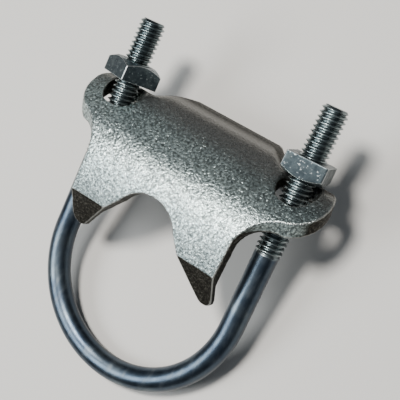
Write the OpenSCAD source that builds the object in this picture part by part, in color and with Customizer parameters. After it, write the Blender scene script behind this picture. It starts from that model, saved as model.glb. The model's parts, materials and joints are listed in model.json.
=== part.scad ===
// Right-angle U-bolt clamp: a bent rod with threaded legs, a cast clamp jaw that
// slides on the legs, and two square nuts. All sizes are in millimetres.
//
// The clamp is drawn in its own axes first: X runs across the two legs, Z runs along
// the legs from the middle of the bow to their tips, and Y points from the jaw's front
// face to its heel. The last step lays it down, so that it rests on the bow and the heel.

/* [U-bolt] */
// Distance between the centre lines of the two legs
leg_spacing = 63.2; // [58:0.2:70]
// Length of a leg from the middle of the bow to its tip
leg_length = 67.4; // [62:0.2:80]
// Diameter of the plain rod
rod_diameter = 7.3; // [6.4:0.1:7.6]
// Outside diameter of the thread
thread_diameter = 7.94; // [7.8:0.02:8.2]
// Distance between two turns of the thread
thread_pitch = 1.411; // [1.25:0.001:1.6]
// Height on the leg at which the thread begins
thread_start = 23.6; // [16:0.2:28]

/* [Jaw] */
// Thickness of the casting
jaw_thickness = 4.6; // [3.6:0.1:5.4]
// Distance from the legs to the jaw's front face
jaw_front = 14.9; // [14:0.1:16]
// Height of the prong tips
prong_tip = 3.6; // [2.4:0.2:5]
// Length of the slot in an ear, across the jaw
slot_length = 11.6; // [10.9:0.1:12.4]
// Width of the slot in an ear
slot_width = 10.5; // [9.4:0.1:10.7]
// Height of the ridge in the middle of the jaw
ridge_height = 50.5; // [49:0.5:52]
// Height of the heel's lower edge
heel_bottom = 36; // [33:0.5:40]

/* [Nuts] */
// Width of a nut across its flats
nut_width = 12.5; // [11.5:0.1:13.5]
// Thickness of a nut
nut_thickness = 5.8; // [4.8:0.1:6]
// Height of the right nut's lower face
right_nut_height = 46.6; // [46.6:0.1:58]
// Height of the left nut's lower face
left_nut_height = 48.4; // [46.6:0.1:58]
// Turn of the right nut on its leg
right_nut_turn = 9; // [0:1:89]
// Turn of the left nut on its leg
left_nut_turn = 63; // [0:1:89]

/* [Hidden] */
$fn = 96;

eps = 0.01;
leg_x = leg_spacing / 2;
rod_r = rod_diameter / 2;
crest_r = thread_diameter / 2;

// Thread form: 60 degree flanks, a flat crest and a flat root.
thread_depth = 0.6134 * thread_pitch;
root_r = crest_r - thread_depth;
crest_flat = thread_pitch / 8;
flank = thread_depth * tan(30);
tip_chamfer = 0.9;
turns = floor((leg_length - thread_start - tip_chamfer) / thread_pitch);

// Jaw section, seen from the side. The front face rises straight, bends back through
// 45 degrees and leans towards the ridge.
front_bend_r = 18;
front_bend_z = 24;
front_bend_y = front_bend_r - jaw_front;
lean_start_y = front_bend_y - front_bend_r * cos(45);
lean_start_z = front_bend_z + front_bend_r * sin(45);
lean_offset = lean_start_z - lean_start_y;

// Ear crest: the lean ends in a small round crest just under the nuts.
crest_z = 46.9;
ear_bend_r = 7;
ear_bend_z = crest_z - ear_bend_r;
ear_bend_y = ear_bend_z - lean_offset + ear_bend_r * sqrt(2);

// Ridge: in the middle the lean goes on to a higher, wider bend, then a short flat top and
// the bend down to the heel.
ridge_bend_r = 13;
ridge_bend_z = ridge_height - ridge_bend_r;
ridge_bend_y = ridge_bend_z - lean_offset + ridge_bend_r * sqrt(2);
heel_bend_r = 9;
heel_bend_y = 13;
heel_bend_z = ridge_height - heel_bend_r;
heel_outer_y = heel_bend_y + heel_bend_r;
heel_corner_r = 1.5;

// Jaw outline, seen along the draw direction, which leans back from the legs. The second
// coordinate of a place runs up the lean of the jaw.
draw_angle = 24.7;
ear_at = [32.2, 15.7];
ear_r = 10.4;
ear_end_angle = 103;
waist_at = [41.9, -10.5];
waist_r = norm(ear_at - waist_at) - ear_r;
side_x = 26.4;
side_angle = acos((side_x - waist_at[0]) / waist_r);
shoulder_at = [21.5, 28.5];
heel_top_w = 33;
plan_top_w = 50;
plan_low_w = -50;

// The thread starts with a short bare stretch at the root size.
thread_run_in = 1.2;
first_root = 0.3;

// The notch's round end starts just off the middle line.
notch_start_angle = 86;

// The teeth of the prongs start inside the skin and run past the prongs' outer sides.
skin_depth = 1;
tooth_overlap = 0.5;
slant_inset = 0.8;

// The cutting shapes reach past the casting on every side.
cut_half_width = 50;
cut_depth = 20;
cut_height = 40;
slot_cut_z = 20;

// Slope of the turned corners of a nut.
nut_chamfer_slope = 1.35;
side_reach = 46;
slot_at = [31.7, -0.9];

// The jaw sits to one side in the play of its slots, and leans a little on the legs.
jaw_play = 0.6;
jaw_roll = 1.3;
roll_z = 41.3;

// Jaw outline, seen from the front.
prong_half = 26.3;
prong_r = 2.9;
prong_at = [prong_half - prong_r, prong_tip + prong_r];
notch_r = 10.8;
notch_z = 13.6;
notch_end_angle = 27;
side_cut_z = 23;
side_cut_r = 9;
outline_top = ridge_height + 5;
hump_half = 23.5;
hump_bend_x = 13.5;
hump_bend_r = 15.7;
heel_half = 15.5;
bevel_z = 14.2;
bevel_angle = 38;
prong_back_y = -4;
tooth_start = 10;

// Nut: the corners are turned off on one face only.
nut_bore_r = crest_r + 0.05;
nut_face_r = nut_width / 2 - 0.1;
nut_corner_r = nut_width / 2 * sqrt(2);
nut_chamfer = 1.55;

// Lying position: the floor touches the bow and the rounded corner of the heel.
heel_corner_y = heel_outer_y - heel_corner_r;
heel_corner_z = heel_bottom + heel_corner_r;
support_span = norm([heel_corner_y, heel_corner_z + leg_x]);
lie_angle = atan2(heel_corner_y, heel_corner_z + leg_x)
          - asin((rod_r - heel_corner_r) / support_span);
heel_dip = heel_half * sin(jaw_roll) * sin(lie_angle);
lift = leg_x * sin(lie_angle) + rod_r + heel_dip;
tip_y = leg_length * cos(lie_angle) + (crest_r - tip_chamfer) * sin(lie_angle);
bow_y = -leg_x * cos(lie_angle) - rod_r;
middle_y = (tip_y + bow_y) / 2;

module lay_down() {
    translate([-jaw_play, -middle_y, lift])
        rotate([lie_angle - 90, 0, 0])
            children();
}

// Points on an arc about c, from angle a to angle b.
function arc(c, r, a, b, steps) =
    [for (i = [0 : steps]) let (t = a + (b - a) * i / steps) c + r * [cos(t), sin(t)]];

// Draws a side-view section (its X is the clamp's Y, its Y is the clamp's Z) from x1 to x2.
module across(x1, x2) {
    translate([x1, 0, 0])
        rotate([90, 0, 90])
            linear_extrude(height = x2 - x1)
                children();
}

// The same points on the other side of the jaw, still going round anticlockwise.
function mirrored(points) =
    [for (i = [len(points) - 1 : -1 : 0]) [-points[i][0], points[i][1]]];

module both_sides() {
    children();
    mirror([1, 0, 0]) children();
}

// ---- U-bolt ----

// Half profile of one threaded leg end: rings that follow the thread form.
function ring(i) = let (z = thread_start + i * thread_pitch) [
    [root_r, z], [crest_r, z + flank], [crest_r, z + flank + crest_flat],
    [root_r, z + 2 * flank + crest_flat]];

module thread() {
    rotate_extrude()
        polygon(concat(
            [[0, thread_start - thread_run_in], [rod_r, thread_start - thread_run_in],
             [root_r, thread_start - first_root]],
            [for (i = [0 : turns - 1]) each ring(i)],
            [[root_r, leg_length - tip_chamfer], [crest_r - tip_chamfer, leg_length],
             [0, leg_length]]));
}

module u_bolt() {
    color("lightsteelblue") lay_down() {
        rotate([90, 0, 0])
            rotate_extrude(angle = -180)
                translate([leg_x, 0]) circle(r = rod_r);
        both_sides()
            translate([leg_x, 0, 0]) {
                cylinder(r = rod_r, h = thread_start - thread_run_in + eps);
                thread();
            }
    }
}

// ---- Clamp jaw ----

// The front of the section: straight, then bent back through 45 degrees.
function front_outside() = concat([[-jaw_front, 0]],
    arc([front_bend_y, front_bend_z], front_bend_r, 180, 135, 9));
function front_inside() = concat(
    arc([front_bend_y, front_bend_z], front_bend_r - jaw_thickness, 135, 180, 9),
    [[-jaw_front + jaw_thickness, 0]]);

module ear_section() {
    crest = [ear_bend_y, ear_bend_z];
    polygon(concat(front_outside(), arc(crest, ear_bend_r, 135, 10, 12),
                   arc(crest, ear_bend_r - jaw_thickness, 10, 135, 12), front_inside()));
}

module middle_section() {
    ridge = [ridge_bend_y, ridge_bend_z];
    heel = [heel_bend_y, heel_bend_z];
    corner = [heel_corner_y, heel_corner_z];
    polygon(concat(front_outside(), arc(ridge, ridge_bend_r, 135, 90, 9),
                   arc(heel, heel_bend_r, 90, 0, 15), arc(corner, heel_corner_r, 0, -90, 6),
                   [[heel_outer_y - jaw_thickness, heel_bottom]],
                   arc(heel, heel_bend_r - jaw_thickness, 0, 90, 15),
                   arc(ridge, ridge_bend_r - jaw_thickness, 90, 135, 9), front_inside()));
}

// The jaw's outline along the draw direction: ears round their slots, waists beside them.
module plan() {
    to_waist = waist_at - ear_at;
    touch = atan2(to_waist[1], to_waist[0]);
    right_half = concat([[side_x, plan_low_w]],
                        arc(waist_at, waist_r, side_angle, touch + 180, 14),
                        arc(ear_at, ear_r, touch, ear_end_angle, 30),
                        [shoulder_at, [heel_half, heel_top_w], [heel_half, plan_top_w]]);
    polygon(concat(right_half, mirrored(right_half)));
}

// The same outline from the front: rounded prongs with the notch between them.
module elevation() {
    notch_at = [0, notch_z];
    notch_end = notch_at + notch_r * [cos(notch_end_angle), sin(notch_end_angle)];
    to_notch = notch_end - prong_at;
    touch = atan2(to_notch[1], to_notch[0]) + acos(prong_r / norm(to_notch));
    right_half = concat(arc(notch_at, notch_r, notch_start_angle, notch_end_angle, 12),
                        arc(prong_at, prong_r, touch, 360, 14),
                        arc([prong_half + side_cut_r, side_cut_z], side_cut_r, 180, 90, 12),
                        [[side_reach, side_cut_z + side_cut_r], [side_reach, outline_top]]);
    polygon(concat(right_half, mirrored(right_half)));
}

// The middle of the jaw from the front: flat on top, then bent down towards the ears.
module hump_outline() {
    bend_at = [hump_bend_x, ridge_height + eps - hump_bend_r];
    edge_x = hump_half + 1;
    end_angle = acos((edge_x - hump_bend_x) / hump_bend_r);
    right_half = concat([[edge_x, -1]], arc(bend_at, hump_bend_r, end_angle, 90, 14));
    polygon(concat(right_half, mirrored(right_half)));
}

// The back of each prong slants inwards like its bevelled tip and makes a tooth.
module prong_teeth() {
    tooth_end = prong_half + tooth_overlap;
    skin_y = -jaw_front + skin_depth;
    slant_y = -jaw_front + jaw_thickness - slant_inset;
    slant_z = prong_tip + (prong_back_y - slant_y) / tan(bevel_angle);
    for (x = [tooth_start, -tooth_end])
        across(x, x + tooth_end - tooth_start)
            polygon([[skin_y, 0], [prong_back_y, 0], [prong_back_y, prong_tip],
                     [slant_y, slant_z], [skin_y, slant_z]]);
}

// Takes the front corner off both prong tips.
module bevel_cut() {
    translate([-cut_half_width, -jaw_front, bevel_z])
        rotate([bevel_angle, 0, 0])
            translate([0, -cut_depth, -cut_height])
                cube([2 * cut_half_width, cut_depth, cut_height]);
}

// The slot through an ear, parallel to the legs.
module ear_slot() {
    end_x = (slot_length - slot_width) / 2;
    half = slot_width / 2;
    right_end = arc([slot_at[0] + end_x, slot_at[1]], half, -90, 90, 32);
    left_end = arc([slot_at[0] - end_x, slot_at[1]], half, 90, 270, 32);
    translate([0, 0, slot_cut_z])
        linear_extrude(height = cut_height) {
            polygon(concat(right_end, left_end));
            polygon(mirrored(concat(right_end, left_end)));
        }
}

module clamp_jaw() {
    color("silver") lay_down()
        translate([jaw_play, 0, roll_z]) rotate([0, jaw_roll, 0]) translate([0, 0, -roll_z])
            difference() {
                intersection() {
                    union() {
                        across(hump_half, side_reach) ear_section();
                        across(-side_reach, -hump_half) ear_section();
                        intersection() {
                            across(-hump_half, hump_half) middle_section();
                            rotate([90, 0, 0])
                                linear_extrude(height = 100, center = true) hump_outline();
                        }
                        prong_teeth();
                    }
                    rotate([draw_angle, 0, 0])
                        linear_extrude(height = 160, center = true) plan();
                    rotate([90, 0, 0])
                        linear_extrude(height = 100, center = true) elevation();
                }
                ear_slot();
                bevel_cut();
            }
}

// ---- Square nuts ----

module nut(chamfer_up) {
    flip = chamfer_up ? 0 : 1;
    translate([0, 0, flip * nut_thickness])
        mirror([0, 0, flip])
            difference() {
                intersection() {
                    translate([-nut_width / 2, -nut_width / 2, 0])
                        cube([nut_width, nut_width, nut_thickness]);
                    rotate_extrude()
                        polygon([[0, 0], [nut_corner_r + 1, 0],
                                 [nut_corner_r + 1, nut_thickness - nut_chamfer * nut_chamfer_slope],
                                 [nut_face_r, nut_thickness], [0, nut_thickness]]);
                }
                translate([0, 0, -1]) cylinder(r = nut_bore_r, h = nut_thickness + 2);
            }
}

module nut_left() {
    color("slategray") lay_down()
        translate([-leg_x, 0, left_nut_height])
            rotate(left_nut_turn) nut(true);
}

module nut_right() {
    color("slategray") lay_down()
        translate([leg_x, 0, right_nut_height])
            rotate(right_nut_turn) nut(false);
}

u_bolt();
clamp_jaw();
nut_left();
nut_right();
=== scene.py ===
"""Looks of the right-angle U-bolt clamp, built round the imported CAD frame.

The clamp's own axes are used for all shapes: X across the legs, Z along the legs from the
middle of the bow to the tips, and Y from the jaw's front face to its heel. CLAMP turns them
into the row frame. Lengths are in metres, written as millimetres times MM.
"""
import json
import math

import bpy
import numpy as np
from mathutils import Matrix, Vector, noise


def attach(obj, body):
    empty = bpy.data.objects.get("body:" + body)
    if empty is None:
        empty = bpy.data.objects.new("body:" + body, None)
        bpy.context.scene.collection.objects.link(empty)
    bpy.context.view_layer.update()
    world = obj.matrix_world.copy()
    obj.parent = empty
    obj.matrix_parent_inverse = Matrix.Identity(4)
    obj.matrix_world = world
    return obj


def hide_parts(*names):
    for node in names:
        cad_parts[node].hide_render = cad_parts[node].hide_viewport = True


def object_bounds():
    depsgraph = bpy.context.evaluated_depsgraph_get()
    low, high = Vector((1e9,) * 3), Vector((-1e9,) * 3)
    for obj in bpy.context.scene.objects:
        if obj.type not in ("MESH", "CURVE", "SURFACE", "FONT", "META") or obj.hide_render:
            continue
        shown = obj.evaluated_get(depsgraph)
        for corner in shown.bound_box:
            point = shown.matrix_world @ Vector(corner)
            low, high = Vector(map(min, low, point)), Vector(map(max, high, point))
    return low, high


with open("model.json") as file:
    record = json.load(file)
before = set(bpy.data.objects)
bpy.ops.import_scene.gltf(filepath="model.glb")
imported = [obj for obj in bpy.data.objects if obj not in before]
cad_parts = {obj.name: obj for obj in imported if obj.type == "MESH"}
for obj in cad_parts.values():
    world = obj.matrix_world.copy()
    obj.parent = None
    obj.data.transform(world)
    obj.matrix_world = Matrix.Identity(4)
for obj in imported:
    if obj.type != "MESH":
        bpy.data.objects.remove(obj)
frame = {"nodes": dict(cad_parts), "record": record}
cad_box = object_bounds()

MM = 0.001

# ---- Places and sizes that the frame gives ----

mounts = {m["name"]: m for m in frame["record"]["mounts"]}
saddle = mounts["conduit_saddle"]
leg_axis = Vector(mounts["leg_tip_left"]["axis"]).normalized()
tip_left = Vector(mounts["leg_tip_left"]["pos_m"])
tip_right = Vector(mounts["leg_tip_right"]["pos_m"])
bow_centre = Vector(saddle["pos_m"])
side_axis = leg_axis.cross(Vector((1, 0, 0)))

CLAMP = Matrix.Translation(bow_centre) @ Matrix(
    ((1, side_axis.x, leg_axis.x), (0, side_axis.y, leg_axis.y), (0, side_axis.z, leg_axis.z))
).to_4x4()

# The rod stays this far inside the CAD model, whose round surfaces have flat sides.
INSET = 0.03 * MM

LEG_X = (tip_right - tip_left).length / 2
LEG_LENGTH = (tip_right - bow_centre).dot(leg_axis) - INSET
ROD_R = LEG_X - saddle["dims"]["r_mm"] * MM - INSET

# ---- Sizes of the thread, nuts and casting ----

CREST_R = 3.97 * MM
PITCH = 1.411 * MM
THREAD_DEPTH = 0.6134 * PITCH
ROOT_R = CREST_R - THREAD_DEPTH
HALF_CREST = PITCH / 14
FLANK_ANGLE = math.radians(30)
THREAD_START = 22.6 * MM
THREAD_RUN_IN = 1.6 * PITCH
TIP_CHAMFER = 0.9 * MM
TIP_SLOPE = 0.9

NUT_BORE_R = 4.02 * MM
NUT_WIDTH = 12.5 * MM
NUT_CORNER_R = 0.35 * MM
NUT_FACE_INSET = 0.1 * MM
NUT_CHAMFER = 1.55 * MM
CHAMFER_SHARE = 1.35
CHAMFER_REACH = 1 * MM
NUT_EDGE = 0.22 * MM
NUT_MOUTH = 0.45 * MM
NUT_TURNS = {"nut_left": 63, "nut_right": 9}

HUMP_HALF = 23.5 * MM
BEVEL_ANGLE = math.radians(38)
BEVEL_FOOT = Vector((0, -14.9 * MM, 14.2 * MM))

# The jaw sits to one side in the play of its slots, and leans a little on the legs.
JAW_PLAY = 0.6 * MM
JAW_ROLL = math.radians(1.3)
ROLL_Z = 41.3 * MM
JAW = (CLAMP @ Matrix.Translation((JAW_PLAY, 0, ROLL_Z)) @ Matrix.Rotation(JAW_ROLL, 4, "Y")
       @ Matrix.Translation((0, 0, -ROLL_Z)))


# ---- Mesh helpers ----

def link(name, mesh):
    """A new smooth-shaded object for a mesh drawn in the clamp's axes."""
    piece = bpy.data.objects.new(name, mesh)
    bpy.context.scene.collection.objects.link(piece)
    mesh.shade_smooth()
    return piece


def grid_mesh(name, rows, uv_step):
    """A closed tube: rows is (row, round, 3), the rows are joined round and the ends capped."""
    count, around = rows.shape[:2]
    corner = np.arange(around)
    after = (corner + 1) % around
    first = np.arange(count - 1)[:, None] * around
    quads = np.stack([first + corner, first + after,
                      first + around + after, first + around + corner], axis=-1)
    faces = [tuple(q) for q in quads.reshape(-1, 4).tolist()]
    faces.append(tuple(range(around - 1, -1, -1)))
    faces.append(tuple((count - 1) * around + i for i in range(around)))
    mesh = bpy.data.meshes.new(name)
    mesh.from_pydata(rows.reshape(-1, 3).tolist(), [], faces)
    u = np.stack([corner, corner + 1, corner + 1, corner], axis=-1) / around
    v = np.array([0, 0, 1, 1])
    uv = np.zeros((count - 1, around, 4, 2))
    uv[..., 0] = u[None]
    uv[..., 1] = (np.arange(count - 1)[:, None, None] + v) * uv_step
    uv = np.concatenate([uv.reshape(-1, 2), np.zeros((2 * around, 2))])
    layer = mesh.uv_layers.new(name="along")
    layer.data.foreach_set("uv", uv.astype(np.float32).reshape(-1))
    mesh.validate()
    return mesh


def put_attribute(mesh, name, values):
    """Stores one number per vertex for the material to read."""
    attribute = mesh.attributes.new(name, "FLOAT", "POINT")
    attribute.data.foreach_set("value", np.asarray(values, np.float32))


def points_of(mesh):
    points = np.zeros(len(mesh.vertices) * 3)
    mesh.vertices.foreach_get("co", points)
    return points.reshape(-1, 3)


def normals_of(mesh):
    normals = np.zeros(len(mesh.vertices) * 3)
    mesh.vertex_normals.foreach_get("vector", normals)
    return normals.reshape(-1, 3)


def set_points(mesh, points):
    mesh.vertices.foreach_set("co", points.reshape(-1))
    mesh.update()


def smooth_step(value, low, high):
    t = np.clip((value - low) / (high - low), 0, 1)
    return t * t * (3 - 2 * t)


# ---- U-bolt ----

ROUND = 64
THREAD_ROW = PITCH / 16
PLAIN_ROWS = 30
BOW_STEPS = 120
UV_STEP = 0.02

# Scale and rise of the rings that close a leg's end, from the outside in.
END_RINGS = ((0.985, 0.005 * MM), (0.94, 0.010 * MM), (0.3, 0.015 * MM))


def thread_radius(height, angle):
    """Radius of a leg: plain rod, then a right-hand thread that runs in, then the tip."""
    phase = (height / PITCH - angle / (2 * math.pi)) % 1
    from_crest = np.abs(phase - 0.5) * PITCH
    flank = (from_crest - HALF_CREST) / math.tan(FLANK_ANGLE)
    thread = np.clip(CREST_R - flank, ROOT_R, CREST_R)
    run_in = smooth_step(height, THREAD_START, THREAD_START + THREAD_RUN_IN)
    radius = ROD_R + (thread - ROD_R) * run_in
    return np.minimum(radius, CREST_R - TIP_CHAMFER + (LEG_LENGTH - height) * TIP_SLOPE)


def leg_rows(heights, angles, side):
    """Rings of one leg; side is 1 for the right leg and -1 for the left."""
    height, angle = np.meshgrid(heights, angles, indexing="ij")
    own_angle = angle if side > 0 else math.pi - angle
    radius = thread_radius(height, own_angle)
    x = side * (LEG_X + radius * np.cos(angle))
    return np.stack([x, radius * np.sin(angle), height], axis=-1)


def bow_rows(angles, steps):
    """Rings of the half-round bow, without its two end rings."""
    sweep = np.linspace(0, math.pi, steps + 1)[1:-1]
    sweep, angle = np.meshgrid(sweep, angles, indexing="ij")
    reach = LEG_X + ROD_R * np.cos(angle)
    return np.stack([reach * np.cos(sweep), ROD_R * np.sin(angle), -reach * np.sin(sweep)],
                    axis=-1)


def end_rows(ring, side):
    """Three smaller rings that turn a leg's end ring into a flat face with a narrow edge."""
    centre = np.array([side * LEG_X, 0, LEG_LENGTH])
    return np.stack([centre + (ring - centre) * scale + np.array([0, 0, rise])
                     for scale, rise in END_RINGS])


def axis_normals(points):
    """Directions straight out from the rod's centre line, turned into the row frame."""
    x, y, z = points.T
    on_bow = z < 0
    reach = np.maximum(np.hypot(x, z), 1e-9)
    centre_x = np.where(on_bow, x / reach, np.sign(x)) * LEG_X
    centre_z = np.where(on_bow, z / reach * LEG_X, z)
    out = np.stack([x - centre_x, y, z - centre_z], axis=-1)
    out /= np.maximum(np.linalg.norm(out, axis=1), 1e-9)[:, None]
    return out @ np.array(CLAMP.to_3x3()).T


def make_u_bolt():
    """The bent rod as one tube, from the right leg's tip round the bow to the left leg's tip."""
    angles = np.arange(ROUND) * 2 * math.pi / ROUND
    plain = np.linspace(0, THREAD_START - THREAD_ROW, PLAIN_ROWS)
    threaded = np.arange(THREAD_START, LEG_LENGTH - 0.2 * THREAD_ROW, THREAD_ROW)
    heights = np.concatenate([plain, threaded, [LEG_LENGTH]])
    right = leg_rows(heights, angles, 1)
    left = leg_rows(heights, angles, -1)
    rows = np.concatenate([end_rows(right[-1], 1)[::-1], right[::-1],
                           bow_rows(angles, BOW_STEPS), left, end_rows(left[-1], -1)])
    mesh = grid_mesh("u_bolt_rod", rows, UV_STEP)
    points = points_of(mesh)
    radius = np.hypot(np.abs(points[:, 0]) - LEG_X, points[:, 1])
    on_leg = smooth_step(points[:, 2], THREAD_START, THREAD_START + PITCH)
    # Thread roots: the material paints shade in them.
    put_attribute(mesh, "groove_shade", on_leg * (1 - smooth_step(radius, ROOT_R, CREST_R)))
    put_attribute(mesh, "threaded", on_leg)
    mesh.transform(CLAMP)
    # Faces turned away from up at rest: the material paints shade on them.
    put_attribute(mesh, "side", 1 - smooth_step(axis_normals(points)[:, 2], 0.1, 0.75))
    piece = link("u_bolt_rod", mesh)
    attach(piece, "u_bolt")
    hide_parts("u_bolt")
    return piece


# ---- Square nuts ----

NUT_ROUND = 192

# Rings of nut_rows on the nut's outer rims, and the reach of the painted highlight lines at its
# corners.
RIM_ROWS = (8, 14)
CORNER_LINE = (0.1 * MM, 0.5 * MM)
CORNER_R = (8 * MM, 8.4 * MM)


def square_reach(angle, half, corner_r):
    """Distance from the middle to the edge of a square with rounded corners."""
    folded = np.abs((angle + math.pi / 4) % (math.pi / 2) - math.pi / 4)
    flat = half / np.cos(folded)
    inset = (half - corner_r) * math.sqrt(2)
    to_corner = math.pi / 4 - folded
    rounded = inset * np.cos(to_corner) + np.sqrt(
        np.maximum(corner_r ** 2 - (inset * np.sin(to_corner)) ** 2, 0))
    past_flat = folded > math.atan2(half - corner_r, half)
    return np.where(past_flat, rounded, flat)


def nut_rows(thickness, chamfer_up):
    """Closed section of a nut, ring by ring: bore, lower face, side, chamfer, upper face."""
    angle = np.arange(NUT_ROUND) * 2 * math.pi / NUT_ROUND
    half = NUT_WIDTH / 2
    edge = NUT_EDGE
    lip = 0.05 * MM
    rim = 0.1 * MM
    face_r = half - NUT_FACE_INSET
    outer = square_reach(angle, half, NUT_CORNER_R)
    slope = NUT_CHAMFER * CHAMFER_SHARE / (half * math.sqrt(2) + CHAMFER_REACH - face_r)
    side_top = thickness - np.maximum(outer - face_r, 0) * slope

    def ring(radius, height):
        level = height * np.ones_like(angle)
        return np.stack([radius * np.cos(angle), radius * np.sin(angle), level], axis=-1)

    def chamfer_height(radius):
        return thickness - np.maximum(radius - face_r, 0) * slope

    rings = [
        ring(NUT_BORE_R, thickness * 0.5),
        ring(NUT_BORE_R, NUT_MOUTH + lip),
        ring(NUT_BORE_R + rim, NUT_MOUTH * 0.8),
        ring(NUT_BORE_R + NUT_MOUTH, lip),
        ring(NUT_BORE_R + NUT_MOUTH + rim, 0),
        ring((NUT_BORE_R + outer) / 2, 0),
        ring(outer - edge * 1.6, 0),
        ring(outer - edge, 0.01 * MM),
        ring(outer - edge * 0.3, edge * 0.3),
        ring(outer, edge),
        ring(outer, edge * 2),
        ring(outer, thickness * 0.4),
        ring(outer, side_top - edge * 1.2),
        ring(outer - 0.01 * MM, side_top - edge * 0.6),
        ring(outer - edge * 0.35, chamfer_height(outer) - edge * 0.1),
        ring(outer - edge, chamfer_height(outer - edge)),
        ring(outer - edge * 2, chamfer_height(outer - edge * 2)),
    ]
    inner = outer - edge * 2
    for share in (0.25, 0.5, 0.75, 0.9):
        radius = inner + (face_r - 0.5 * MM - inner) * share
        rings.append(ring(radius, chamfer_height(radius)))
    rings += [
        ring(face_r - 0.9 * MM, thickness),
        ring(NUT_BORE_R + NUT_MOUTH + rim, thickness),
        ring(NUT_BORE_R + NUT_MOUTH, thickness - lip),
        ring(NUT_BORE_R + rim, thickness - NUT_MOUTH * 0.8),
        ring(NUT_BORE_R, thickness - NUT_MOUTH - lip),
    ]
    rows = np.stack(rings)
    if not chamfer_up:
        rows[..., 2] = thickness - rows[..., 2]
        rows = rows[::-1]
    return rows


def ring_mesh(name, rows):
    """A closed ring of quads: the rows are joined round, and the last row to the first."""
    count, around = rows.shape[:2]
    corner = np.arange(around)
    first = np.arange(count)[:, None] * around
    second = (np.arange(count)[:, None] + 1) % count * around
    after = (corner + 1) % around
    quads = np.stack([first + corner, first + after, second + after, second + corner], axis=-1)
    mesh = bpy.data.meshes.new(name)
    mesh.from_pydata(rows.reshape(-1, 3).tolist(), [], quads.reshape(-1, 4).tolist())
    mesh.validate()
    return mesh


def make_nut(node, side, chamfer_up):
    """A square nut in the place and at the height of its CAD node."""
    heights = (points_of(frame["nodes"][node].data) - np.array(bow_centre)) @ np.array(leg_axis)
    low, high = heights.min(), heights.max()
    mesh = ring_mesh(node + "_body", nut_rows(high - low, chamfer_up))
    points = points_of(mesh)
    radius = np.hypot(points[:, 0], points[:, 1])
    folded = np.abs(np.abs(points[:, 0]) - np.abs(points[:, 1]))
    corner = (1 - smooth_step(folded, *CORNER_LINE)) * smooth_step(radius, *CORNER_R)
    rim = np.zeros((len(points) // NUT_ROUND, NUT_ROUND))
    rim[list(RIM_ROWS if chamfer_up else [len(rim) - 1 - i for i in RIM_ROWS])] = 1
    # Rims and corner lines: the material paints highlights on them.
    put_attribute(mesh, "edge", np.maximum(corner, rim.reshape(-1)))
    turn = Matrix.Rotation(math.radians(NUT_TURNS[node]), 4, "Z")
    mesh.transform(CLAMP @ Matrix.Translation((side * LEG_X, 0, low)) @ turn)
    piece = link(node + "_body", mesh)
    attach(piece, node)
    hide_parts(node)
    return piece


# ---- Cast jaw ----

VOXEL = 0.3 * MM

# The hump's flanks run softly into the plate: how far beside them, and between which heights.
HUMP_BLEND_X = (2.5 * MM, 6 * MM)
HUMP_BLEND_Z = (36 * MM, 42 * MM)
HUMP_ROUNDS = 90

# Depth of the cast skin. The grain hardly passes GRAIN_TOP, so the skin goes inwards.
SKIN_DEPTH = 0.07 * MM
GRAIN_TOP = 1.1
RIDGE_Z = (43 * MM, 49 * MM)


def remeshed(node):
    """An even mesh of a CAD node's shape, in the jaw's own axes."""
    source = bpy.data.objects.new("jaw_source", frame["nodes"][node].data.copy())
    bpy.context.scene.collection.objects.link(source)
    modifier = source.modifiers.new("even", "REMESH")
    modifier.mode = "VOXEL"
    modifier.voxel_size = VOXEL
    shape = source.evaluated_get(bpy.context.evaluated_depsgraph_get())
    mesh = bpy.data.meshes.new_from_object(shape)
    bpy.data.objects.remove(source)
    mesh.materials.clear()
    mesh.transform(JAW.inverted())
    return mesh


def edge_ends(mesh):
    ends = np.zeros(len(mesh.edges) * 2, np.int64)
    mesh.edges.foreach_get("vertices", ends)
    return ends.reshape(-1, 2)


def relax(points, ends, weight, rounds, keep_volume=True):
    """Moves each point towards the mean of its neighbours, as far as its weight says."""
    count = np.bincount(ends.reshape(-1), minlength=len(points))[:, None]
    steps = (0.5, -0.52) if keep_volume else (0.5,)
    for _ in range(rounds):
        for step in steps:
            total = np.zeros_like(points)
            for axis in range(3):
                total[:, axis] = (
                    np.bincount(ends[:, 0], points[ends[:, 1], axis], len(points))
                    + np.bincount(ends[:, 1], points[ends[:, 0], axis], len(points)))
            points = points + (total / count - points) * weight[:, None] * step
    return points


def bevel_distance(points):
    """Distance of each point in front of the plane of the bevelled prong tips."""
    normal = np.array([0, -math.cos(BEVEL_ANGLE), -math.sin(BEVEL_ANGLE)])
    return (points - np.array(BEVEL_FOOT)) @ normal


def cast_grain(point):
    """Height of the sand-cast skin at a point, from about -1 to 1."""
    p = Vector(point) / MM
    coarse = noise.noise(p * 0.55)
    pebbles = noise.noise(p * 1.15 + Vector((7, 3, 1)))
    fine = noise.noise(p * 2.3 + Vector((1, 9, 4)))
    return 0.35 * coarse + 0.75 * pebbles + 0.45 * fine


def edge_sharpness(points, normals, ends):
    """1 on sharp outer edges, 0 on flat or hollow places."""
    span = points[ends[:, 1]] - points[ends[:, 0]]
    turn = normals[ends[:, 1]] - normals[ends[:, 0]]
    bend = (span * turn).sum(axis=1) / (span * span).sum(axis=1)
    count = np.bincount(ends.reshape(-1), minlength=len(points))
    total = (np.bincount(ends[:, 0], bend, len(points))
             + np.bincount(ends[:, 1], bend, len(points)))
    return smooth_step(total / count * MM, 0.25, 0.7)


def painted_light_belt(points):
    """1 along the belt of the casting that keeps its full colour, 0 far above and below it, where
    the material paints shade.
    """
    x, _, z = points.T
    lower = smooth_step(z, 11 * MM, 31 * MM)
    upper = 1 - smooth_step(z + 0.08 * x, 35 * MM, 47 * MM)
    return lower * upper


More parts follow.
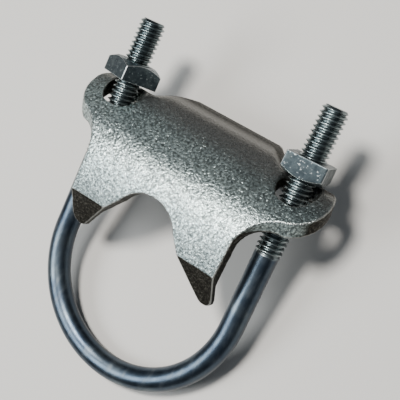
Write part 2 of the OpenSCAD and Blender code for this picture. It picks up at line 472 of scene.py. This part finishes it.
def make_jaw():
    """The casting: the CAD shape with softened edges, a grainy skin and its material's masks."""
    mesh = remeshed("clamp_jaw")
    ends = edge_ends(mesh)
    points = points_of(mesh)
    everywhere = np.ones(len(points))
    x, _, z = points.T
    beside_hump = 1 - smooth_step(np.abs(np.abs(x) - HUMP_HALF), *HUMP_BLEND_X)
    blend = beside_hump * smooth_step(z, *HUMP_BLEND_Z)
    on_bevel = 1 - smooth_step(np.abs(bevel_distance(points)), 0.1 * MM, 1.2 * MM)
    points = relax(points, ends, everywhere, 3, keep_volume=False)
    points = relax(points, ends, blend, HUMP_ROUNDS, keep_volume=False)
    points = relax(points, ends, 1 - 0.8 * on_bevel, 10)
    set_points(mesh, points)
    normals = normals_of(mesh)
    up = np.array((JAW.to_3x3().inverted() @ Vector((0, 0, 1))).normalized())
    edge = edge_sharpness(points, normals, ends)
    rough = 1 - 0.6 * (1 - smooth_step(np.abs(bevel_distance(points)), 0.2 * MM, 0.5 * MM))
    smooth_top = smooth_step(z, *RIDGE_Z)
    grain = np.array([cast_grain(p) for p in points])
    skin = (grain - GRAIN_TOP) * rough * (1 - 0.7 * smooth_top) * SKIN_DEPTH
    set_points(mesh, points + normals * skin[:, None])
    # Bevel facets: the material paints shade on them.
    bevel_face = smooth_step(-normals[:, 1] * math.cos(BEVEL_ANGLE)
                             - normals[:, 2] * math.sin(BEVEL_ANGLE), 0.86, 0.96)
    bevel_face *= 1 - smooth_step(np.abs(bevel_distance(points)), 0.3 * MM, 0.8 * MM)
    put_attribute(mesh, "bevel", bevel_face)
    # Faces turned away from up at rest, sides and underside: the material paints shade on them.
    put_attribute(mesh, "side", 1 - smooth_step(normals @ up, 0.3, 0.8))
    # Ridge: a smoother bump, and a painted brown-grey reflection in the material.
    put_attribute(mesh, "ridge", smooth_step(points[:, 2], 40 * MM, 49 * MM))
    # Sharp outer edges: the material paints highlights on them.
    put_attribute(mesh, "edge", edge)
    # Belt mask: the material paints shade above and below the belt.
    put_attribute(mesh, "painted_shade_by_belt", painted_light_belt(points))
    mesh.transform(JAW)
    piece = link("jaw_casting", mesh)
    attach(piece, "clamp_jaw")
    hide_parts("clamp_jaw")
    return piece


# ---- Materials ----

class Nodes:
    """Short calls for building a material's node tree."""

    def __init__(self, name):
        self.material = bpy.data.materials.new(name)
        self.material.use_nodes = True
        self.tree = self.material.node_tree
        self.shader = self.tree.nodes["Principled BSDF"]

    def add(self, kind, inputs=None, **settings):
        node = self.tree.nodes.new("ShaderNode" + kind)
        for key, value in settings.items():
            setattr(node, key, value)
        for key, value in (inputs or {}).items():
            self.feed(node, key, value)
        return node

    def feed(self, node, key, value):
        if isinstance(value, bpy.types.NodeSocket):
            self.tree.links.new(value, node.inputs[key])
        else:
            node.inputs[key].default_value = value

    def shade(self, **values):
        for key, value in values.items():
            self.feed(self.shader, key.replace("_", " ").title(), value)

    def position(self, scale=(1, 1, 1)):
        """Place on the object in millimetres, times scale on each axis."""
        coords = self.add("TexCoord").outputs["Object"]
        scaled = self.add("VectorMath", operation="MULTIPLY")
        self.feed(scaled, 0, coords)
        self.feed(scaled, 1, [s * 1000 for s in scale])
        return scaled.outputs["Vector"]

    def noise(self, vector, scale, detail, roughness=0.5):
        inputs = {"Vector": vector, "Scale": scale, "Detail": detail, "Roughness": roughness}
        return self.add("TexNoise", inputs).outputs["Fac"]

    def ramp(self, value, *stops):
        """Maps a value to colours: each stop is (position, colour)."""
        node = self.add("ValToRGB", {"Fac": value})
        elements = node.color_ramp.elements
        for element, (position, _) in zip(elements, stops):
            element.position = position
        for position, _ in stops[len(elements):]:
            elements.new(position)
        for element, (_, colour) in zip(elements, stops):
            element.color = (*colour, 1)
        return node.outputs["Color"]

    def levels(self, value, low, high, to_low=0.0, to_high=1.0):
        inputs = {"Value": value, "From Min": low, "From Max": high,
                  "To Min": to_low, "To Max": to_high}
        return self.add("MapRange", inputs).outputs["Result"]

    def mix(self, factor, first, second):
        node = self.add("Mix", data_type="RGBA")
        self.feed(node, 0, factor)
        self.feed(node, 6, first if not isinstance(first, tuple) else (*first, 1))
        self.feed(node, 7, second if not isinstance(second, tuple) else (*second, 1))
        return node.outputs[2]

    def maths(self, operation, first, second):
        node = self.add("Math", operation=operation)
        self.feed(node, 0, first)
        self.feed(node, 1, second)
        return node.outputs[0]

    def attribute(self, name):
        return self.add("Attribute", attribute_name=name).outputs["Fac"]

    def bump(self, height, distance, strength):
        inputs = {"Height": height, "Distance": distance, "Strength": strength}
        return self.add("Bump", inputs).outputs["Normal"]


def zinc_rod_material():
    """Blue-bright zinc on a drawn rod: soft dark blue stains, faint pale smears, tinted thread,
    painted shade in the thread roots and on faces turned away from up.
    """
    n = Nodes("zinc_rod")
    place = n.position()
    smears = n.noise(n.position((0.5, 0.12, 0.3)), 1.0, 3.0, 0.55)
    stains = n.noise(place, 0.11, 4.0, 0.55)
    specks = n.noise(place, 2.2, 2.0)
    colour = n.ramp(stains, (0.32, (0.045, 0.062, 0.09)), (0.5, (0.075, 0.10, 0.13)),
                    (0.68, (0.13, 0.158, 0.18)))
    colour = n.mix(n.levels(smears, 0.55, 0.8, 0, 0.3), colour, (0.30, 0.32, 0.32))
    thread = n.mix(n.levels(stains, 0.35, 0.65), (0.26, 0.31, 0.32), (0.38, 0.43, 0.43))
    colour = n.mix(n.attribute("threaded"), colour, thread)
    groove_shade = n.attribute("groove_shade")
    # Painted shade in the thread roots.
    colour = n.mix(n.levels(groove_shade, 0.2, 0.9, 0, 0.6), colour, (0.06, 0.08, 0.09))
    # Painted shade on rod faces turned away from up, weaker on the thread.
    side = n.levels(n.attribute("threaded"), 0, 1, 0.8, 0.35)
    colour = n.mix(n.maths("MULTIPLY", n.attribute("side"), side), colour, (0.02, 0.026, 0.035))
    roughness = n.maths("SUBTRACT", n.levels(smears, 0.35, 0.7, 0.32, 0.42),
                        n.maths("MULTIPLY", n.attribute("threaded"), 0.08))
    n.shade(base_color=colour, metallic=1.0, roughness=roughness,
            normal=n.bump(specks, 0.012 * MM, 0.5))
    return n.material


def cast_zinc_material():
    """Satin zinc over sand-cast iron: bright grains, dark pits, painted shade on sides, undersides
    and bevels.

    Painted shade darkens it above and below its brightest belt; the ridge is smoother and mixed
    towards a brown-grey painted reflection.
    """
    n = Nodes("cast_zinc")
    place = n.position()
    grain = n.noise(place, 1.45, 2.0, 0.55)
    sparkle = n.noise(place, 3.6, 1.0)
    cloud = n.noise(place, 0.10, 3.0, 0.55)
    tone = n.maths("ADD", n.maths("MULTIPLY", grain, 0.62), n.maths("MULTIPLY", sparkle, 0.38))
    colour = n.ramp(tone, (0.40, (0.12, 0.145, 0.14)), (0.50, (0.38, 0.45, 0.44)),
                    (0.60, (0.82, 0.97, 0.95)))
    colour = n.mix(n.levels(cloud, 0.4, 0.7, 0, 0.15), colour, (0.26, 0.30, 0.32))
    # Painted shade: darker above and below the belt where the casting looks brightest.
    painted_shade_by_belt = n.levels(n.attribute("painted_shade_by_belt"), 0, 1, 0.76, 0)
    colour = n.mix(painted_shade_by_belt, colour, (0.035, 0.042, 0.045))
    # Painted reflection: the ridge is mixed towards brown-grey.
    ridge = n.levels(n.attribute("ridge"), 0.0, 1.0, 0, 0.85)
    colour = n.mix(ridge, colour, (0.27, 0.26, 0.245))
    # Painted shade for the sides, underside and bevel facets.
    dark = n.ramp(tone, (0.42, (0.008, 0.007, 0.005)), (0.53, (0.020, 0.018, 0.013)),
                  (0.64, (0.10, 0.095, 0.08)))
    side = n.maths("MAXIMUM", n.attribute("side"), n.attribute("bevel"))
    colour = n.mix(n.levels(side, 0.15, 0.85), colour, dark)
    # Painted highlights on sharp edges.
    colour = n.mix(n.levels(n.attribute("edge"), 0.3, 1.0, 0, 0.45), colour,
                   (0.70, 0.70, 0.66))
    rough = n.maths("ADD", n.levels(sparkle, 0.4, 0.6, 0.40, 0.26),
                    n.levels(side, 0.2, 0.9, 0, 0.28))
    height = n.maths("ADD", grain, n.maths("MULTIPLY", sparkle, 0.45))
    strength = n.levels(n.attribute("ridge"), 0.2, 1.0, 1.0, 0.45)
    n.shade(base_color=colour, metallic=0.94, roughness=rough,
            normal=n.bump(height, 0.22 * MM, strength))
    return n.material


def nut_material(name, shade_share):
    """Grey-blue zinc on pressed steel, mottled, with pale specks, dark pits and painted highlights
    on its edges.
    """
    n = Nodes(name)
    place = n.position()
    mottle = n.noise(place, 0.5, 4.0, 0.62)
    specks = n.noise(place, 1.7, 1.0)
    # Painted shade: the whole colour is darkened by this share.
    tone = 1 - shade_share
    colour = n.ramp(mottle, (0.35, (0.09 * tone, 0.12 * tone, 0.14 * tone)),
                    (0.52, (0.17 * tone, 0.22 * tone, 0.245 * tone)),
                    (0.7, (0.29 * tone, 0.35 * tone, 0.37 * tone)))
    colour = n.mix(n.levels(specks, 0.66, 0.72, 0, 0.7), colour, (0.04, 0.055, 0.055))
    colour = n.mix(n.levels(specks, 0.34, 0.29, 0, 0.6), colour, (0.62, 0.68, 0.68))
    # Painted highlights on the rims and corners.
    edge = n.levels(n.attribute("edge"), 0.3, 0.9)
    colour = n.mix(n.maths("MULTIPLY", edge, 0.85), colour, (0.86, 0.89, 0.88))
    n.shade(base_color=colour, metallic=0.95, roughness=n.levels(mottle, 0.3, 0.7, 0.5, 0.32),
            normal=n.bump(mottle, 0.10 * MM, 0.6))
    return n.material


# ---- Stage, light and camera ----

def make_floor():
    """A plain pale floor, just below the lowest point of the CAD model."""
    mesh = bpy.data.meshes.new("floor")
    size = 3.0
    gap = 0.02 * MM
    mesh.from_pydata([(-size, -size, 0), (size, -size, 0), (size, size, 0), (-size, size, 0)],
                     [], [(0, 1, 2, 3)])
    floor = bpy.data.objects.new("floor", mesh)
    floor.location.z = cad_box[0].z - gap
    bpy.context.scene.collection.objects.link(floor)
    n = Nodes("pale_floor")
    n.shade(base_color=(0.62, 0.60, 0.57, 1), roughness=0.75)
    mesh.materials.append(n.material)


def add_area_light(name, place, target, size, power, colour):
    light = bpy.data.lights.new(name, "AREA")
    light.shape = "DISK"
    light.size = size
    light.energy = power
    light.color = colour
    lamp = bpy.data.objects.new(name, light)
    lamp.location = place
    lamp.rotation_mode = "QUATERNION"
    lamp.rotation_quaternion = (Vector(target) - Vector(place)).to_track_quat("-Z", "Y")
    bpy.context.scene.collection.objects.link(lamp)


def add_lights():
    """A key light overhead, a larger soft one on the left, and a sky that is dark low down."""
    add_area_light("key", (-0.05, 0.07, 0.60), (0, 0, 0), 0.14, 5.0, (1.0, 0.98, 0.94))
    add_area_light("fill", (-0.32, -0.30, 0.50), (0, 0, 0), 0.34, 3.2, (0.93, 0.98, 1.0))
    world = bpy.data.worlds.new("studio")
    world.use_nodes = True
    tree = world.node_tree
    coords = tree.nodes.new("ShaderNodeTexCoord")
    parts = tree.nodes.new("ShaderNodeSeparateXYZ")
    ramp = tree.nodes.new("ShaderNodeValToRGB")
    tree.links.new(coords.outputs["Generated"], parts.inputs["Vector"])
    tree.links.new(parts.outputs["Z"], ramp.inputs["Fac"])
    tree.links.new(ramp.outputs["Color"], tree.nodes["Background"].inputs["Color"])
    stops = ((0.0, (0.04, 0.05, 0.06)), (0.40, (0.09, 0.11, 0.13)), (0.75, (0.44, 0.49, 0.54)),
             (1.0, (0.80, 0.86, 0.95)))
    elements = ramp.color_ramp.elements
    for position, _ in stops[2:]:
        elements.new(position)
    for element, (position, colour) in zip(elements, stops):
        element.position = position
        element.color = (*colour, 1)
    tree.nodes["Background"].inputs["Strength"].default_value = 0.42
    bpy.context.scene.world = world


def add_camera():
    """The viewing angle, in the clamp's axes: in front of the jaw and to its right."""
    data = bpy.data.cameras.new("camera")
    data.lens = 76.55
    data.sensor_width = 36
    data.clip_start = 0.01
    camera = bpy.data.objects.new("camera", data)
    place = Vector((107.53, -217.11, 74.51)) * MM
    forward = Vector((-0.41483, 0.88899, -0.19392))
    up = Vector((-0.45123, -0.01592, 0.89226))
    right = forward.cross(up).normalized()
    up = right.cross(forward).normalized()
    turn = Matrix((right, up, -forward.normalized())).transposed().to_4x4()
    camera.matrix_world = CLAMP @ Matrix.Translation(place) @ turn
    bpy.context.scene.collection.objects.link(camera)
    bpy.context.scene.camera = camera


add_camera()
add_lights()
make_floor()

u_bolt = make_u_bolt()
u_bolt.data.materials.append(zinc_rod_material())
jaw = make_jaw()
jaw.data.materials.append(cast_zinc_material())
# The nuts take different shares of painted shade, to match how the light falls on each.
left = make_nut("nut_left", -1, True)
left.data.materials.append(nut_material("zinc_nut_less_shade", 0.42))
right = make_nut("nut_right", 1, False)
right.data.materials.append(nut_material("zinc_nut_more_shade", 0.68))
